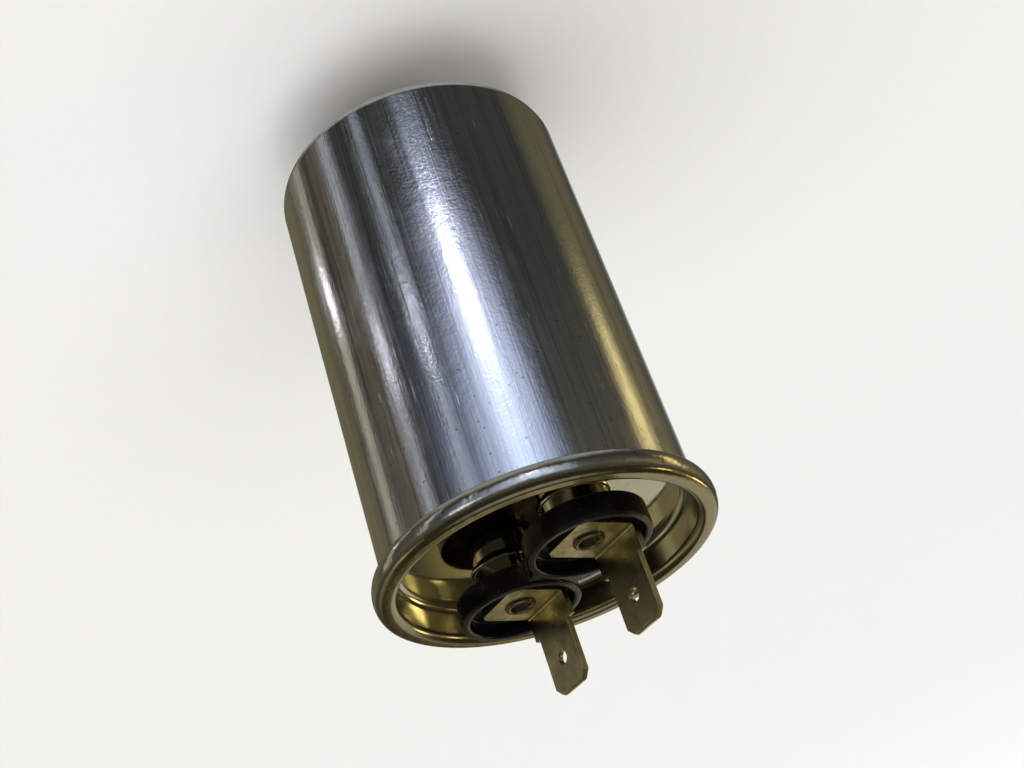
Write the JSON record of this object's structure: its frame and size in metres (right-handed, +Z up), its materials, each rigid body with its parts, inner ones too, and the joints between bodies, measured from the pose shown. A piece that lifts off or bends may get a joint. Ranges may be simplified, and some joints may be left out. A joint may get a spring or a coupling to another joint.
{
  "type": "capacitor",
  "caption": "Motor-run film capacitor: round aluminium can with a threaded fixing stud, a rolled seam and a sunk lid that carries push-on blade terminals in a moulded block.",
  "frame": {"origin": "middle of the can's base, where the fixing stud starts", "axes": "+Z up the can to the terminals, the stud points along -Z, X runs through both terminals, the blades stand on the +Y side of their rivets"},
  "size_m": [0.0436, 0.0436, 0.0882],
  "materials": {
    "can": "drawn bright aluminium with fine lengthwise lines",
    "lid": "bright tinplate",
    "seal": "sealing compound",
    "block": "black moulded phenolic",
    "tab": "tinned brass sheet",
    "rivet": "tinned brass",
    "gasket": "moulded rubber",
    "plate": "laminated phenolic sheet",
    "lug": "tinned brass sheet",
    "lead_red": "insulated copper wire",
    "lead_blue": "insulated copper wire",
    "holder": "moulded polypropylene",
    "winding": "wound metallised film",
    "core": "extruded polypropylene",
    "spray": "sprayed zinc",
    "liner": "moulded polypropylene",
    "label": "bare silver polyester film"
  },
  "bodies": {
    "root": {"can": "can", "lid": "lid", "seam_seal": "seal", "terminal_block": "block", "tab_a": "tab", "tab_b": "tab", "rivet_a": "rivet", "rivet_b": "rivet", "gasket_a": "gasket", "gasket_b": "gasket", "inner_plate": "plate", "lug_a": "lug", "lug_b": "lug", "lead_short": "lead_red", "lead_long": "lead_blue", "top_holder": "holder", "winding": "winding", "core_tube": "core", "spray_top": "spray", "spray_bottom": "spray", "liner_cup": "liner", "label": "label"}
  },
  "joints": []
}
